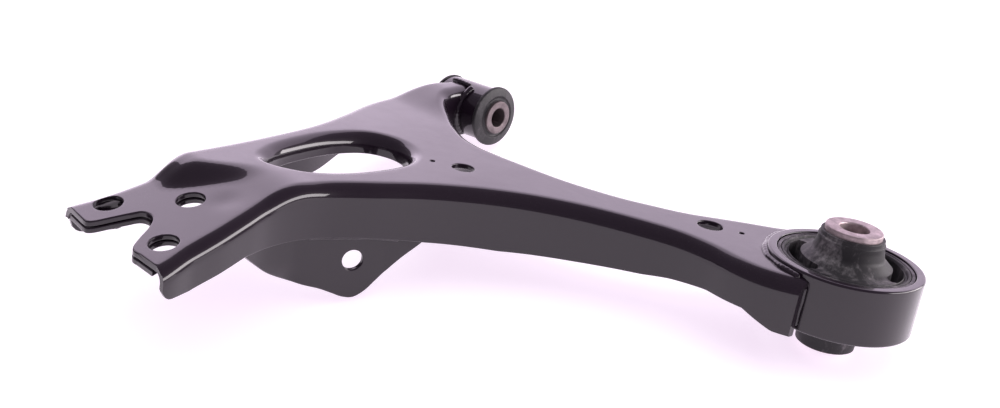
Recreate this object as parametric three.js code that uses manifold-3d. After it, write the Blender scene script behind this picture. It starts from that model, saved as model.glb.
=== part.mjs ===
// Front lower control arm: a stamped steel arm with a fork for the ball joint, a large rear bush
// that stands upright in a welded ring, and a slim front bush that lies in a welded tube.
// Millimetres, +Z up. The origin is the centre of the rear bush, +X runs along the swing axis
// towards the front bush, and +Y points outboard, towards the ball joint.
import * as THREE from "three";
import { mergeVertices } from "three/addons/utils/BufferGeometryUtils.js";
import Module from "manifold-3d";

const wasm = await Module();
wasm.setup();

// ---- overall sizes ----
const bushSpacing = 295.5; // rear bush centre to front bush centre
const forkReach = 311; // swing axis to the end of the fork
const gap = 0.3; // clearance between pieces that touch

// ---- stamping ----
const sheet = 3; // wall of the arm
const bendRadius = 8; // outside radius of the turned-down edge
const deckHeight = 12.5; // top face of the arm above the bush centre
const flatDepth = 46; // blank's flange depth before it is trimmed to its curve
const facetLength = 4.5; // facet length across the ramp and the neck
const facetError = 0.04; // how far a facet may stand off the curved sheet

// ---- rear bush ----
const ringRadius = 42;
const ringWall = 5;
const ringHeight = 31.5;
const rearShellWall = 2;
const rearShellHeight = 30;
const rearSleeveRadius = 15.4;
const rearBoreRadius = 8;
const rearSleeveLength = 67;
const voidBearing = 225; // degrees in plan, where the first of the two rubber voids faces

// ---- front bush ----
const frontRise = 2; // bush centre above the swing axis
const frontOffset = 1.5; // bush centre outboard of the swing axis
const frontYaw = 4.5; // degrees, bush axis against the swing axis in plan
const frontPitch = 3.5; // degrees, rear end of the bush upwards
const tubeRadius = 17.5;
const tubeWall = 2.8;
const tubeLength = 37.5;
const frontShellWall = 1.5;
const frontSleeveRadius = 10.9;
const frontBoreRadius = 6.2;
const frontSleeveLength = 49;
const frontFlangeRadius = tubeRadius + 2; // rubber flange on the end that faces the rear bush
const farFlangeRadius = tubeRadius + 0.7;
const flangeThickness = 4.4;

// ---- ball joint fork ----
const forkSlope = 0.25; // fall of the fork per mm outboard
const forkDrop = 13; // deck height less fork height at the foot of the ramp
const forkHoleRadius = 7.3;
const backingSheet = 3; // second layer under the fork
const nutRadius = 8.6;
const nutHeight = 4.5;
const nutThreadRadius = 5.1;

// ---- link bracket ----
const bracketSheet = 3.2;
const bracketDrop = 53.5; // lowest point below the bush centre
const linkHoleRadius = 5.6;

// ---- lightening opening ----
const openingDepth = 12; // depth of its turned-down rim
const smallHoleRadius = 6.4;
const drainHoleRadius = 7;

const beadWidth = 4.2; // leg of a weld fillet

// Plan positions below are drawn for an arm of this size, and follow its two overall sizes. The
// last neckSpan before the front bush keeps its length, and the rest stretches with the spacing.
const drawnSpacing = 295.5;
const drawnReach = 311;
const neckSpan = 37.5;
function place([x, y]) {
  const neckStart = drawnSpacing - neckSpan;
  const stretched = (x * (bushSpacing - neckSpan)) / neckStart;
  return [x > neckStart ? x + bushSpacing - drawnSpacing : stretched, (y * forkReach) / drawnReach];
}

// ---------------------------------------------------------------- helpers

const mix = (x0, x1, t) => x0 + (x1 - x0) * t;

function smoothstep(a, b, t) {
  const s = Math.min(1, Math.max(0, (t - a) / (b - a)));
  return s * s * (3 - 2 * s);
}

// Straight-line table lookup: stations are [position, value] pairs in rising order.
function table(stations, at) {
  if (at <= stations[0][0]) return stations[0][1];
  for (let i = 1; i < stations.length; i++) {
    const [a, va] = stations[i - 1];
    const [b, vb] = stations[i];
    if (at <= b) return mix(va, vb, (at - a) / (b - a));
  }
  return stations[stations.length - 1][1];
}

function curveThrough(points, count, closed) {
  const curve = new THREE.CatmullRomCurve3(
    points.map(([x, y]) => new THREE.Vector3(x, y, 0)),
    closed,
    "centripetal",
  );
  const found = curve.getSpacedPoints(count).map((p) => new THREE.Vector2(p.x, p.y));
  if (closed) found.pop();
  return found;
}

// Moves every point of an open path sideways, to the left of its direction of travel.
function offsetPath(points, distance) {
  return points.map((p, i) => {
    const before = points[Math.max(0, i - 1)];
    const after = points[Math.min(points.length - 1, i + 1)];
    const along = after.clone().sub(before).normalize();
    return new THREE.Vector2(p.x - along.y * distance, p.y + along.x * distance);
  });
}

function solid(geometry) {
  const plain = geometry.index ? geometry.toNonIndexed() : geometry;
  const bare = new THREE.BufferGeometry().setAttribute("position", plain.getAttribute("position"));
  const merged = mergeVertices(bare, 1e-4);
  return new wasm.Manifold(
    new wasm.Mesh({
      numProp: 3,
      vertProperties: merged.attributes.position.array,
      triVerts: new Uint32Array(merged.index.array),
    }),
  );
}

function geometryOf(body) {
  const mesh = body.getMesh();
  const geometry = new THREE.BufferGeometry();
  const places = new THREE.BufferAttribute(new Float32Array(mesh.vertProperties), 3);
  geometry.setAttribute("position", places);
  geometry.setIndex(new THREE.BufferAttribute(new Uint32Array(mesh.triVerts), 1));
  const flat = geometry.toNonIndexed();
  flat.computeVertexNormals();
  return flat;
}

function extrude(points, bottom, top, holes = [], options = {}) {
  const shape = new THREE.Shape(points);
  shape.holes = holes.map((hole) => new THREE.Path(hole));
  const settings = { depth: top - bottom, bevelEnabled: false, ...options };
  return new THREE.ExtrudeGeometry(shape, settings).translate(0, 0, bottom);
}

function cylinder(radius, height, sides = 48) {
  return new THREE.CylinderGeometry(radius, radius, height, sides).rotateX(Math.PI / 2);
}

// A closed profile of [radius, height] pairs turned about Z.
function turned(profile, sides) {
  const loop = profile.map(([r, z]) => new THREE.Vector2(r, z));
  loop.push(loop[0].clone());
  return new THREE.LatheGeometry(loop, sides).rotateX(Math.PI / 2);
}

function pipe(outer, inner, height, sides) {
  const half = height / 2;
  return turned([[inner, -half], [outer, -half], [outer, half], [inner, half]], sides);
}

// ---------------------------------------------------------------- the arm's surfaces

const forkFlat = forkReach - 38; // station of Y where the fork is forkDrop below the deck
// The step down to the fork: a steep ramp on the far side, and a long fold on the near side.
const farRamp = [forkReach - 64, forkFlat];
const nearRamp = [forkReach - 105, forkReach - 69];
const rampTurn = [bushSpacing - 88, bushSpacing - 58]; // X from the near side's ramp to the far side's
const neckFoot = [25, 70]; // the neck climbs to the tube between these stations of Y
const neckRise = [bushSpacing - 55, bushSpacing - 8]; // and across these stations of X
const neckTop = frontRise + tubeRadius - 1; // top face of the sheet where it meets the tube

function forkHeight(y) {
  return deckHeight - forkDrop - forkSlope * (y - forkFlat);
}

// Top face of the stamping at a place in plan.
function topHeight(x, y) {
  const far = smoothstep(rampTurn[0], rampTurn[1], x);
  const ramp = smoothstep(mix(nearRamp[0], farRamp[0], far), mix(nearRamp[1], farRamp[1], far), y);
  const deck = mix(deckHeight, forkHeight(y), ramp);
  const towardsTube = 1 - smoothstep(neckFoot[0], neckFoot[1], y);
  const acrossNeck = smoothstep(neckRise[0], neckRise[1], x);
  return deck + (neckTop - deckHeight) * towardsTube * acrossNeck;
}

// Lower edge of the flange, along the leg by X and along the body by Y.
const legEdge = [
  [-10, -18.5], [2, -17.5], [18, -10.5], [42, -10.5], [65, -13.3], [79, -15.8], [112, -19],
  [142, -21], [164, -20], [240, -17.5], [286, -13.5],
];
const bodyEdge = [
  [110, -20.5], [150, -19.5], [177, -17.5], [222, -16.5], [255, -17.5], [274, -22],
  [293, -25.8], [305, -26], [308.5, -24.4], [310.4, -21.5], [311, -18],
];
function lowerEdge(x, y) {
  const along = (x * drawnSpacing) / bushSpacing;
  const across = (y * drawnReach) / forkReach;
  return mix(table(legEdge, along), table(bodyEdge, across), smoothstep(112, 152, across));
}

// Splits every triangle that crosses a plane of constant X (axis 0) or Y (axis 1), so that the
// sheet can bend along that line.
function score(triangles, axis, at) {
  const kept = [];
  for (const corners of triangles) {
    const side = corners.map((p) => p.getComponent(axis) - at);
    if (Math.min(...side) > -1e-4 || Math.max(...side) < 1e-4) {
      kept.push(corners);
      continue;
    }
    const below = side.map((d) => d < 0);
    const lone = below.findIndex((one) => below.filter((other) => other === one).length === 1);
    const [a, b, c] = [lone, (lone + 1) % 3, (lone + 2) % 3];
    const cut = (i, j) => {
      const [from, to] = below[i] ? [i, j] : [j, i];
      return corners[from].clone().lerp(corners[to], side[from] / (side[from] - side[to]));
    };
    const [ab, ac] = [cut(a, b), cut(a, c)];
    kept.push([corners[a], ab, ac], [ab, corners[b], corners[c]], [ab, corners[c], ac]);
  }
  return kept;
}

function stations(from, to) {
  const count = Math.ceil((to - from) / facetLength);
  return Array.from({ length: count + 1 }, (_, i) => mix(from, to, i / count));
}

// Bends the flat blank into the stamping: depths below the top face keep the sheet's wall and
// the bend as they are, and the flange below them is stretched to the trim line.
function press(geometry) {
  const flat = geometry.getAttribute("position");
  let triangles = [];
  for (let i = 0; i < flat.count; i += 3) {
    triangles.push([0, 1, 2].map((k) => new THREE.Vector3().fromBufferAttribute(flat, i + k)));
  }
  for (const y of stations(nearRamp[0], farRamp[1])) triangles = score(triangles, 1, y);
  for (const x of stations(rampTurn[0], rampTurn[1])) triangles = score(triangles, 0, x);
  for (const y of stations(neckFoot[0], neckFoot[1])) triangles = score(triangles, 1, y);
  for (const x of stations(neckRise[0], neckRise[1])) triangles = score(triangles, 0, x);
  for (const p of triangles.flat()) {
    if (p.pressed) continue;
    const depth = -p.z;
    const top = topHeight(p.x, p.y);
    const stretch = (top - bendRadius - lowerEdge(p.x, p.y)) / (flatDepth - bendRadius);
    p.z = top - (depth <= bendRadius ? depth : bendRadius + (depth - bendRadius) * stretch);
    p.pressed = true;
  }
  return new THREE.BufferGeometry().setFromPoints(triangles.flat());
}

// Plan outline of the stamping's outer face, anticlockwise, run on past the ends that are
// trimmed: into the ring, through the tube, and beyond the fork.
const ringEnd = [
  [-20, ringRadius - 9], [-14, 10], [4, -6], [ringRadius * 0.619, ringRadius * -0.643],
  [ringRadius + 2, ringRadius * -0.5476],
];
const inboardSide = [
  [57, -9], [68, 2], [79, 14], [91, 26.5], [105, 36.5], [119, 45.5], [135, 53], [153, 59.5],
  [185, 66.5], [208, 70.5], [224, 68.5], [242, 60.5], [262, 49.5], [277, 41], [284.5, 34], [288, 24], [289.5, 11], [288.5, -10], [284, -30],
];
const outboardFar = [
  [300, -48], [316, -30], [311, -10], [310.5, 14], [311.5, 32], [310.5, 48], [306.5, 66], [298.5, 92],
  [285, 121], [273, 151], [264.5, 184], [258, 217], [253.5, 248], [250.5, 274], [251, 296],
  [254, 316], [250, 332],
];
const outboardNear = [
  [210, 340], [168, 332], [162.5, 312], [168.5, 290], [172.5, 272], [177.5, 254], [182, 238],
  [183.5, 222], [182, 203], [173, 176], [163, 150], [150, 127], [133.5, 106], [115, 89.5],
  [101, 80], [86, 71.5], [66, 62.5],
];
const ringShoulder = [
  [47, ringRadius + 17.5], [28, ringRadius + 18], [14, ringRadius + 16], [2, ringRadius + 11],
  [-8, ringRadius + 4],
];
const outline = curveThrough(
  [
    ...ringEnd, ...inboardSide.map(place), ...outboardFar.map(place), ...outboardNear.map(place),
    ...ringShoulder,
  ],
  92,
  true,
);

// The egg-shaped opening, broad towards the swing axis and narrow towards the fork.
const openingPoints = [
  [228, 211], [212, 203], [203, 188], [199.5, 162], [203, 138], [214, 124.5],
  [231, 121], [244.5, 129], [249.5, 149], [246, 177], [238.5, 199],
];
const openingLine = curveThrough(openingPoints.map(place), 30, true);
const opening = [...openingLine].reverse();

function pressedTray() {
  const lidInset = { bevelEnabled: true, bevelSegments: 3, steps: 1, bevelOffset: -bendRadius };
  const outer = { ...lidInset, bevelSize: bendRadius, bevelThickness: bendRadius };
  const core = { ...lidInset, bevelSize: bendRadius - sheet, bevelThickness: bendRadius - sheet };
  const skin = extrude(outline, -flatDepth - bendRadius, -bendRadius, [opening], outer);
  const hollow = extrude(outline, -flatDepth - bendRadius, -bendRadius, [opening], core);
  const under = new THREE.BoxGeometry(800, 800, 60).translate(150, 150, -flatDepth - 30);
  const around = [...openingLine, openingLine[0], openingLine[1]];
  const wide = offsetPath(around, 1 - bendRadius).slice(1, -1);
  const rimTrim = extrude(wide, -flatDepth - 20, -openingDepth);
  return solid(skin).subtract(solid(hollow)).subtract(solid(under)).subtract(solid(rimTrim));
}

// ---------------------------------------------------------------- frames of the two bushes

const frontBush = new THREE.Matrix4()
  .makeTranslation(bushSpacing, frontOffset, frontRise)
  .multiply(new THREE.Matrix4().makeRotationZ(THREE.MathUtils.degToRad(frontYaw)))
  .multiply(new THREE.Matrix4().makeRotationY(THREE.MathUtils.degToRad(frontPitch - 90)));

const forkTilt = Math.atan(forkSlope);

// Stands a shape on the fork's top plane, its own Z along the plane's normal.
function onFork(geometry, x, y) {
  return geometry.rotateX(-forkTilt).translate(x, y, forkHeight(y));
}

const studHoles = [[213, 267], [185.5, 298], [238.5, 298]].map(place);
const nutHole = studHoles[2];

const forkNotch = [
  [184.5, 311.5], [189.5, 311.6], [193.2, 309.4], [198, 303.5], [203.5, 295.5], [208.5, 290.6],
  [214, 288.8], [219, 290.3], [221.8, 296.5], [224, 303], [227.2, 312], [229.5, 314.2], [233, 314.5],
];
const forkEnd = [[262, 312], [270, 360], [140, 360], [140, 311]];

function forkCutters() {
  const notch = curveThrough(forkNotch.map(place), 32, false);
  const end = forkEnd.map((p) => new THREE.Vector2(...place(p)));
  const cutters = [extrude([...notch, ...end].reverse(), -80, 60)];
  for (const [x, y] of studHoles) cutters.push(onFork(cylinder(forkHoleRadius, 60), x, y));
  return cutters;
}

function armShell() {
  let shell = solid(press(geometryOf(pressedTray()))).simplify(facetError);
  const tools = [
    cylinder(ringRadius + gap, 120, 72),
    cylinder(tubeRadius + gap, 70, 48).applyMatrix4(frontBush),
    new THREE.BoxGeometry(80, 60, 120).translate(bushSpacing + 5, -31, 0),
    new THREE.BoxGeometry(60, 120, 120).translate(-36, 0, 0),
    cylinder(smallHoleRadius, 30).translate(...place([183, 111]), deckHeight),
    cylinder(drainHoleRadius, 30).translate(...place([67.5, 31.5]), deckHeight),
    ...forkCutters(),
  ];
  for (const tool of tools) shell = shell.subtract(solid(tool));
  return shell.decompose().sort((a, b) => b.volume() - a.volume())[0];
}

// ---------------------------------------------------------------- pieces of the fork

// Second layer under the fork, inside the flanges, with the same notch and holes.
const backingOutline = [
  [190.5, 238], [198, 228], [215, 225.5], [234, 228], [243.5, 236], [244, 250], [241.5, 274],
  [242, 294], [246.5, 330], [172, 330], [171.5, 312], [177.5, 292], [182, 272], [187, 254],
];

const backingDepth = sheet + 2 * gap; // its top face below the arm's

function forkBacking() {
  const line = curveThrough(backingOutline.map(place), 60, true);
  const blank = extrude(line, -backingDepth - backingSheet, -backingDepth);
  let plate = solid(press(geometryOf(solid(blank)))).simplify(facetError);
  for (const tool of forkCutters()) plate = plate.subtract(solid(tool));
  return plate;
}

function weldNut() {
  const under = (backingDepth + backingSheet + gap) * Math.sqrt(1 + forkSlope ** 2);
  const nut = pipe(nutRadius, nutThreadRadius, nutHeight, 24).translate(0, 0, -under - nutHeight / 2);
  return solid(onFork(nut, ...nutHole));
}

// ---------------------------------------------------------------- link bracket

// Plan line of the bracket's outer face: two wings that follow the flange, and a flat between.
const bracketLine = [
  [156.5, 130], [167, 150], [173.5, 164], [174.5, 166], [188.3, 213.5], [189, 217],
  [189, 236], [184.5, 253],
].map((p) => new THREE.Vector2(...place(p)));
const bracketEdge = [
  [253, -16], [250, -21], [240, -29.5], [231, -36], [214.5, -43.7], [200.6, -47.6],
  [193.5, -50.4], [187, -53], [181, -bracketDrop], [175, -50], [170, -44.5], [164, -37.7],
  [157, -30], [150, -22.4], [143, -14],
];
const linkHole = [...place([180, 184]), -31.4];

function linkBracket() {
  const inner = offsetPath(bracketLine, -bracketSheet);
  const strip = extrude([...bracketLine, ...inner.reverse()], -bracketDrop - 1, -4);
  const side = bracketEdge.map(([y, z]) => new THREE.Vector2(place([0, y])[1], z));
  const lower = new THREE.SplineCurve(side).getSpacedPoints(36);
  const upper = [side[side.length - 1], side[0]].map((p) => new THREE.Vector2(p.x, 0));
  const panel = extrude([...lower, ...upper], 100, 260);
  // Y and Z of the side view become the part's Y and Z, and the depth becomes X.
  panel.applyMatrix4(new THREE.Matrix4().set(0, 0, 1, 0, 1, 0, 0, 0, 0, 1, 0, 0, 0, 0, 0, 1));
  const flatEdge = bracketLine[4].clone().sub(bracketLine[3]);
  const flatYaw = Math.atan2(flatEdge.x, flatEdge.y);
  const drill = cylinder(linkHoleRadius, 20, 32)
    .rotateY(Math.PI / 2)
    .rotateZ(-flatYaw)
    .translate(...linkHole);
  return solid(strip).intersect(solid(panel)).subtract(solid(drill));
}

// ---------------------------------------------------------------- bushes

const rearRubberOuter = ringRadius - ringWall - gap - rearShellWall - gap;
const rearRubberInner = rearSleeveRadius + gap;

function rearRubber() {
  const lip = rearShellHeight / 2 - 3;
  const collar = rearSleeveLength / 2 - 4.5;
  const skirt = [
    [rearRubberInner, collar], [rearRubberInner + 1.8, collar], [rearRubberInner + 2, collar - 4],
    [rearRubberInner + 3.4, collar - 10], [rearRubberInner + 7, collar - 16],
    [rearRubberInner + 11, collar - 20], [rearRubberOuter - 3.4, collar - 21.5],
    [rearRubberOuter - 2.8, lip], [rearRubberOuter, lip],
  ];
  const foot = [
    [rearRubberOuter, -lip], [rearRubberOuter - 4, -lip], [rearRubberInner + 10, -collar + 19],
    [rearRubberInner + 3, -collar + 12], [rearRubberInner + 1.8, -collar + 8],
    [rearRubberInner + 1.8, -collar + 1], [rearRubberInner, -collar + 1],
  ];
  // The profile runs anticlockwise: up the outside and down the bore.
  const body = solid(turned([...foot.reverse(), ...skirt.reverse()], 44));
  const mid = (rearRubberOuter + rearRubberInner) / 2 + 2.5;
  const kidney = [];
  for (let i = 0; i <= 8; i++) kidney.push(arcPoint(mid + 3.6, i * 10 - 40));
  for (let i = 8; i >= 0; i--) kidney.push(arcPoint(mid - 2.6, i * 10 - 40));
  const slot = extrude(kidney, -60, 60);
  const turn = THREE.MathUtils.degToRad(voidBearing);
  const near = solid(slot.clone().rotateZ(turn));
  const far = solid(slot.clone().rotateZ(turn + Math.PI));
  return body.subtract(near).subtract(far);
}

function arcPoint(radius, degrees) {
  const a = THREE.MathUtils.degToRad(degrees);
  return new THREE.Vector2(radius * Math.cos(a), radius * Math.sin(a));
}

const frontShellOuter = tubeRadius - tubeWall - gap;
const frontRubberOuter = frontShellOuter - frontShellWall - gap;
const frontRubberInner = frontSleeveRadius + gap;

// Local Z of the front bush points towards the rear bush, so the big flange is at its top.
function frontRubber() {
  const end = tubeLength / 2 + gap;
  const lip = end + flangeThickness;
  return solid(turned([
    [frontRubberInner, -lip], [farFlangeRadius - 4, -lip], [farFlangeRadius, -end - 1.5],
    [farFlangeRadius, -end], [frontRubberOuter, -end], [frontRubberOuter, end],
    [frontFlangeRadius, end], [frontFlangeRadius, end + 1.6], [frontRubberInner + 1.2, lip],
    [frontRubberInner, lip],
  ], 44));
}

// ---------------------------------------------------------------- weld beads

function bead(points, radius = beadWidth / 2, steps = 8) {
  const path = new THREE.CatmullRomCurve3(points.map((p) => new THREE.Vector3(...p)));
  const round = [];
  for (let i = 0; i < 6; i++) round.push(arcPoint(radius, i * 60));
  const settings = { steps, bevelEnabled: false, extrudePath: path };
  return solid(new THREE.ExtrudeGeometry(new THREE.Shape(round), settings));
}

// Cuts a bead back from its neighbours, with the usual gap, and keeps its largest piece.
function clearOf(body, ...neighbours) {
  let left = body;
  const step = gap * 1.2;
  for (const other of neighbours) {
    for (const axis of [0, 1, 2]) {
      for (const side of [-step, step]) {
        const shift = [0, 0, 0];
        shift[axis] = side;
        left = left.subtract(other.translate(shift));
      }
    }
    left = left.subtract(other);
  }
  return left.decompose().sort((a, b) => b.volume() - a.volume())[0].simplify(facetError / 2);
}

function ringArc(from, to, radius, height) {
  const points = [];
  for (let i = 0; i <= 8; i++) {
    const p = arcPoint(radius, mix(from, to, i / 8));
    points.push([p.x, p.y, height]);
  }
  return points;
}

// Follows the tube's side at one station of its length, from high to low.
function tubeSide(x, high, low) {
  const points = [];
  for (let i = 0; i <= 6; i++) {
    const z = mix(high, low, i / 6);
    const across = Math.sqrt(Math.max(0, (tubeRadius + 1.2) ** 2 - (z - frontRise) ** 2));
    points.push([x, frontOffset + across, z]);
  }
  return points;
}

// ---------------------------------------------------------------- assembly

const paint = { color: 0x1d1b20, roughness: 0.22, metalness: 0.0 };
const rubber = { color: 0x242428, roughness: 0.75, metalness: 0.0 };
const steel = { color: 0x8a7f80, roughness: 0.45, metalness: 0.9 };

const arm = new THREE.Group();

function add(name, body, finish) {
  const mesh = new THREE.Mesh(geometryOf(body), new THREE.MeshStandardMaterial(finish));
  mesh.name = name;
  arm.add(mesh);
  return body;
}

const inFront = (geometry) => solid(geometry.applyMatrix4(frontBush));

const shell = add("arm_shell", armShell(), paint);
const backing = add("fork_backing_plate", forkBacking(), paint);
const nut = add("ball_joint_weld_nut", weldNut(), paint);
const bracket = add("link_bracket", clearOf(linkBracket(), shell, backing), paint);

const ring = solid(pipe(ringRadius, ringRadius - ringWall, ringHeight, 72));
add("rear_bush_housing", ring, paint);
const rearShellOuter = ringRadius - ringWall - gap;
const rearShell = pipe(rearShellOuter, rearShellOuter - rearShellWall, rearShellHeight, 64);
add("rear_bush_outer_sleeve", solid(rearShell), steel);
add("rear_bush_rubber", rearRubber(), rubber);
const rearSleeve = pipe(rearSleeveRadius, rearBoreRadius, rearSleeveLength, 40);
add("rear_bush_inner_sleeve", solid(rearSleeve), steel);

const tube = inFront(pipe(tubeRadius, tubeRadius - tubeWall, tubeLength, 48));
add("front_bush_housing", tube, paint);
const frontShell = pipe(frontShellOuter, frontShellOuter - frontShellWall, tubeLength, 44);
add("front_bush_outer_sleeve", inFront(frontShell), steel);
const farRubber = frontRubber().transform(frontBush.elements);
add("front_bush_rubber", farRubber, rubber);
const frontSleeve = pipe(frontSleeveRadius, frontBoreRadius, frontSleeveLength, 36);
add("front_bush_inner_sleeve", inFront(frontSleeve), steel);

const ringEdge = ringRadius + 1.4;
const besideRing = deckHeight + 0.9;
const inboardEnd = arcPoint(ringEdge + 1, -38);
const outboardEnd = arcPoint(ringEdge + 1.6, 97);
const beadTop = neckTop + 0.4;
const bracketSeam = [[172, 161], [177.5, 178], [182.5, 195], [187.5, 212]].map(place).map(([x, y]) => [
  x - 1.2,
  y,
  lowerEdge(x, y) - 0.4,
]);
const bracketBack = [[182.8, 171], [187.8, 188], [192.8, 206]].map((p) => [...place(p), -14.5]);
const underBacking = (p) => {
  const [x, y] = place(p);
  return [x, y, topHeight(x, y) - backingDepth - backingSheet];
};
const nearSeam = [[180, 262], [177, 280], [174.5, 298]].map(underBacking);
const farSeam = [[246, 256], [245.5, 268], [245.8, 281]].map(underBacking);

const seams = {
  weld_ring_top: [bead(ringArc(2, 90, ringEdge, besideRing)), ring, shell],
  weld_ring_inboard: [
    bead([[inboardEnd.x, inboardEnd.y, 9], [inboardEnd.x, inboardEnd.y, -9]]), ring, shell,
  ],
  weld_ring_outboard: [
    bead([[outboardEnd.x, outboardEnd.y, 9], [outboardEnd.x, outboardEnd.y, -13]]), ring, shell,
  ],
  weld_tube_rear_side: [bead(tubeSide(bushSpacing - 6.5, beadTop, -11)), tube, shell],
  weld_tube_front_side: [
    bead(tubeSide(bushSpacing + 15.1, beadTop - 6, -11)), tube, shell, farRubber,
  ],
  weld_tube_top: [
    bead([-2.5, 14.5].map((x) => [bushSpacing + x, frontOffset + 7, beadTop + 0.6])),
    tube, shell,
  ],
  weld_bracket_outer: [bead(bracketSeam), shell, bracket],
  weld_bracket_inner: [bead(bracketBack), shell, bracket],
  weld_backing_near: [bead(nearSeam), shell, backing],
  weld_backing_far: [bead(farSeam), shell, backing],
};
for (const [name, [body, ...neighbours]] of Object.entries(seams)) {
  add(name, clearOf(body, ...neighbours), paint);
}

export default arm;
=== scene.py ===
import bpy
import bmesh
import numpy as np
from mathutils import Matrix
from mathutils.geometry import delaunay_2d_cdt


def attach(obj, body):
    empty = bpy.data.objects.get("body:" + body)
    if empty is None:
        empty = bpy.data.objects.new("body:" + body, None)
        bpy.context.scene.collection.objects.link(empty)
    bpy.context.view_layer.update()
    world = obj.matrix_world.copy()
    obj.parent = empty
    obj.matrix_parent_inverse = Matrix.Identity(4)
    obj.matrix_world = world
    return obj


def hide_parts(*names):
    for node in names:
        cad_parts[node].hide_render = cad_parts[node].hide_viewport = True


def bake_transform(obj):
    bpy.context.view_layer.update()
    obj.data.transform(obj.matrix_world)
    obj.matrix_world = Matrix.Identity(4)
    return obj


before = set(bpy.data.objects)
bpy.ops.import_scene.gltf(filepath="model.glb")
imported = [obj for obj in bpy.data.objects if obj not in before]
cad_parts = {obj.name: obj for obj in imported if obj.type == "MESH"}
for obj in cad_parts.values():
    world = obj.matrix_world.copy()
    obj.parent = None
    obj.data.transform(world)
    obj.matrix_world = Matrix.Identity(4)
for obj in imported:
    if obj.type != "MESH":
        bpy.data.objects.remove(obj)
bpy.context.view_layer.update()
metre = 0.001  # lengths below are in millimetres
print("frame loaded")

# shapes are worked out as whole arrays, in millimetres, in the arm's own frame


def mix(a, b, t):
    return a + (b - a) * t


def smoothStep(a, b, t):  # 3s^2 - 2s^3, where s runs from 0 at a to 1 at b
    s = np.clip((t - a) / (b - a), 0, 1)
    return s * s * (3 - 2 * s)


def smoothLine(points, count, closed=False, perSpan=240):
    # Catmull-Rom through the points: a cubic over each span, its end slopes weighted by the square
    # roots of the spacings, then sampled at equal steps of length.
    p = np.asarray(points, float)
    ends = (p[-1:], p[:2]) if closed else (2 * p[:1] - p[1:2], 2 * p[-1:] - p[-2:-1])
    ring = np.vstack([ends[0], p, ends[1]])
    a, b, c, d = ring[:-3], ring[1:-2], ring[2:-1], ring[3:]
    e, f, g = (np.sqrt(np.linalg.norm(n - m, axis=1, keepdims=True)) for m, n in ((a, b), (b, c), (c, d)))
    slopeIn = ((b - a) / e - (c - a) / (e + f) + (c - b) / f) * f
    slopeOut = ((c - b) / f - (d - b) / (f + g) + (d - c) / g) * f
    s = np.linspace(0, 1, perSpan, endpoint=False)[None, :, None]
    line = (
        (2 * s**3 - 3 * s**2 + 1) * b[:, None]
        + (s**3 - 2 * s**2 + s) * slopeIn[:, None]
        + (3 * s**2 - 2 * s**3) * c[:, None]
        + (s**3 - s**2) * slopeOut[:, None]
    ).reshape(-1, p.shape[1])
    line = np.vstack([line, p[:1] if closed else p[-1:]])
    run = np.r_[0, np.cumsum(np.linalg.norm(np.diff(line, axis=0), axis=1))]
    at = np.linspace(0, run[-1], count, endpoint=not closed)
    return np.column_stack([np.interp(at, run, line[:, k]) for k in range(p.shape[1])])


def leftOf(line):  # unit normals to the left of a closed plan line
    along = np.roll(line, -1, 0) - np.roll(line, 1, 0)
    along /= np.linalg.norm(along, axis=1, keepdims=True)
    return np.column_stack([-along[:, 1], along[:, 0]])


def gridFaces(rows, cols, closeRows=False, closeCols=False):
    r, c = np.meshgrid(
        np.arange(rows if closeRows else rows - 1), np.arange(cols if closeCols else cols - 1), indexing="ij"
    )
    r1, c1 = (r + 1) % rows, (c + 1) % cols
    return np.stack([r * cols + c, r * cols + c1, r1 * cols + c1, r1 * cols + c], -1).reshape(-1, 4)


def insideLoops(points, loops):  # even-odd count of the loop edges crossed by a ray along +X
    crossed = np.zeros(len(points), int)
    x, y = points[:, :1], points[:, 1:2]
    for loop in loops:
        a, b = loop, np.roll(loop, -1, 0)
        spans = (a[:, 1] > y) != (b[:, 1] > y)
        rise = b[:, 1] - a[:, 1]
        rise = np.where(np.abs(rise) < 1e-12, 1e-12, rise)  # a level edge is never divided by zero
        crossed += (spans & (x < a[:, 0] + (b[:, 0] - a[:, 0]) * (y - a[:, 1]) / rise)).sum(1)
    return crossed % 2 == 1


def fillLoops(loops, step):
    # Delaunay triangles over the region inside the loops, with a square lattice of inner points that
    # stay about half a step off the rim, so that no slivers form along it.
    low, high = loops[0].min(0), loops[0].max(0)
    lattice = np.stack(np.meshgrid(*[np.arange(low[k], high[k], step) for k in (0, 1)]), -1).reshape(-1, 2)
    lattice = lattice[insideLoops(lattice, loops)]
    rim = np.vstack(loops)
    away = np.concatenate([
        np.sqrt(((batch[:, None] - rim[None]) ** 2).sum(-1)).min(1) for batch in np.array_split(lattice, 40)
    ])
    inner = lattice[away > step * 0.55]
    starts = np.cumsum([0] + [len(loop) for loop in loops])
    edges = [
        (int(s + i), int(s + (i + 1) % len(loop)))
        for s, loop in zip(starts, loops)
        for i in range(len(loop))
    ]
    found = delaunay_2d_cdt(np.vstack([rim, inner]).tolist(), edges, [], 0, 1e-6)
    points, faces = np.array([tuple(p) for p in found[0]]), np.array(found[2])
    keep = insideLoops(points[faces].mean(1), loops)
    return points, faces[keep]


def makeMesh(name, points, faces, sharpAt=40.0, joinWithin=0.002):
    mesh = bpy.data.meshes.new(name)
    corners = [face for part in faces for face in part.tolist()]
    mesh.from_pydata((np.asarray(points, float) * metre).tolist(), [], corners)
    work = bmesh.new()
    work.from_mesh(mesh)
    bmesh.ops.remove_doubles(work, verts=work.verts, dist=joinWithin * metre)
    bmesh.ops.recalc_face_normals(work, faces=work.faces)
    work.to_mesh(mesh)
    work.free()
    shade(mesh, sharpAt)
    piece = bpy.data.objects.new(name, mesh)
    bpy.context.scene.collection.objects.link(piece)
    return piece


def evenNormals(piece):  # big flat faces win over the small ones round their rims
    step = piece.modifiers.new("faceNormals", "WEIGHTED_NORMAL")
    step.mode, step.weight, step.keep_sharp = "FACE_AREA", 50, True


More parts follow.
